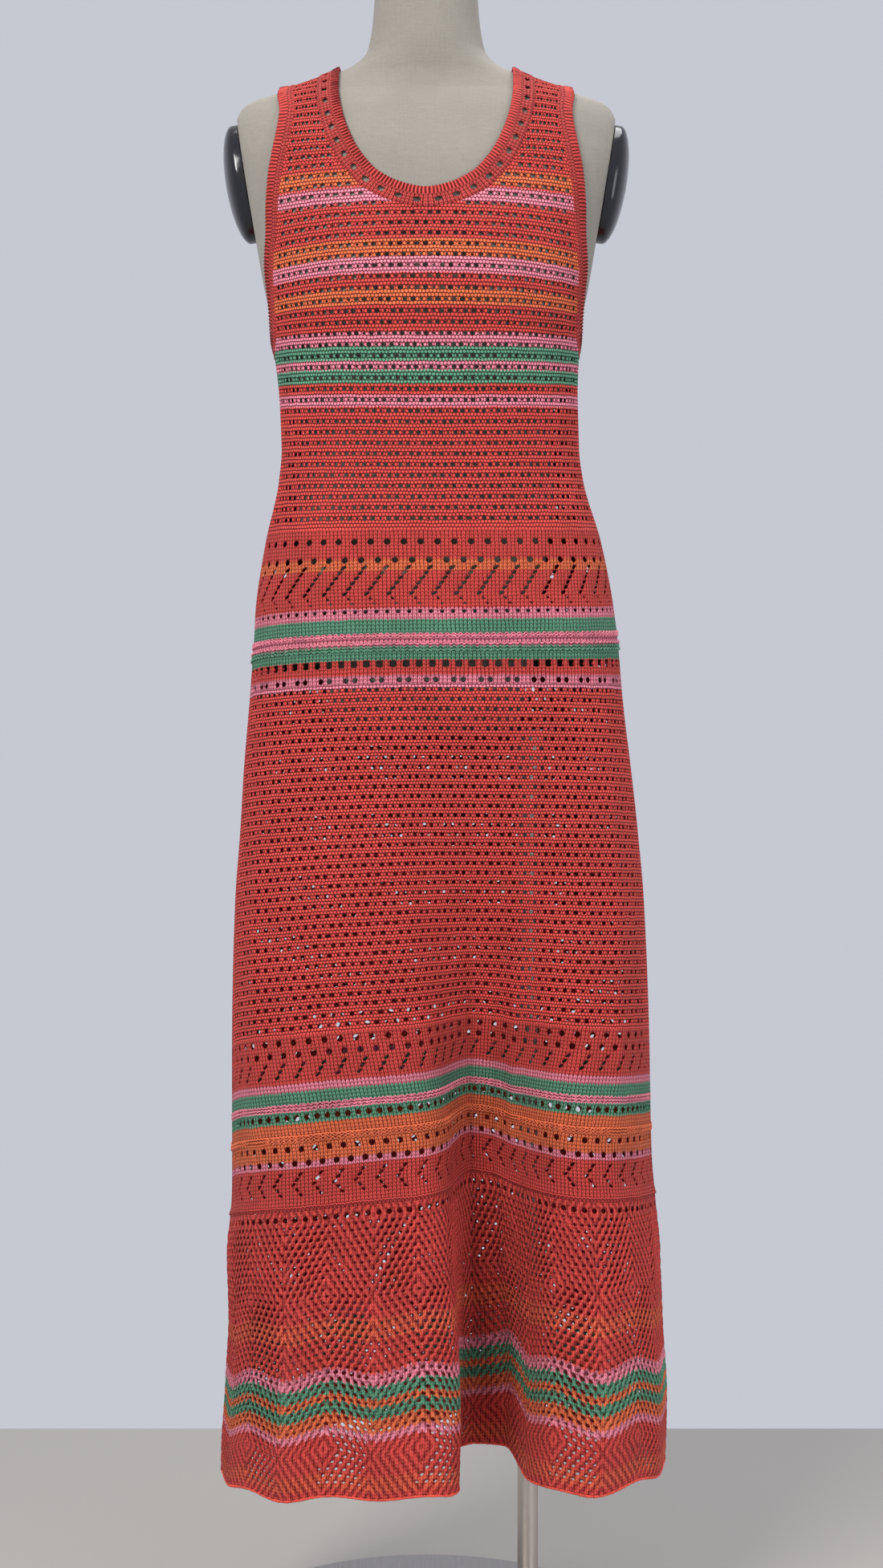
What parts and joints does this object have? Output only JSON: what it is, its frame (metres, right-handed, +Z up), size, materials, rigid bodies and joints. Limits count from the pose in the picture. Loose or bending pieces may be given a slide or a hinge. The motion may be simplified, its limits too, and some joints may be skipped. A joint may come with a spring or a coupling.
{
  "type": "knit dress on a dress form",
  "caption": "Sleeveless ankle-length knit dress with openwork rows, ribbed neck and armhole bands and a lace flounce, worn by a limbless dress form on a steel stand with a round base.",
  "frame": {"origin": "centre of the base's underside, which stands on the floor", "axes": "+Z up, the longest way of the object; -Y is the front of the dress; +X is the viewer's right, seen from the front"},
  "size_m": [0.4296, 0.39, 1.6123],
  "materials": {
    "knit": "striped openwork knit of soft cotton yarn in red, pink, green and orange",
    "rib": "red rib and openwork knit",
    "linen": "natural plain-weave linen, stretched smooth",
    "black_plastic": "glossy black moulded plastic",
    "steel": "satin steel tube and plate"
  },
  "bodies": {
    "root": {"front_panel": "knit", "back_panel": "knit", "flounce_front": "knit", "flounce_back": "knit", "neck_band_front": "rib", "neck_band_back": "rib", "armhole_band_left": "rib", "armhole_band_right": "rib", "form_torso": "linen", "arm_plate_left": "black_plastic", "arm_plate_right": "black_plastic", "neck_cap": "black_plastic", "pole_socket": "steel", "stand_pole": "steel", "stand_flange": "steel", "stand_base": "steel"}
  },
  "joints": []
}
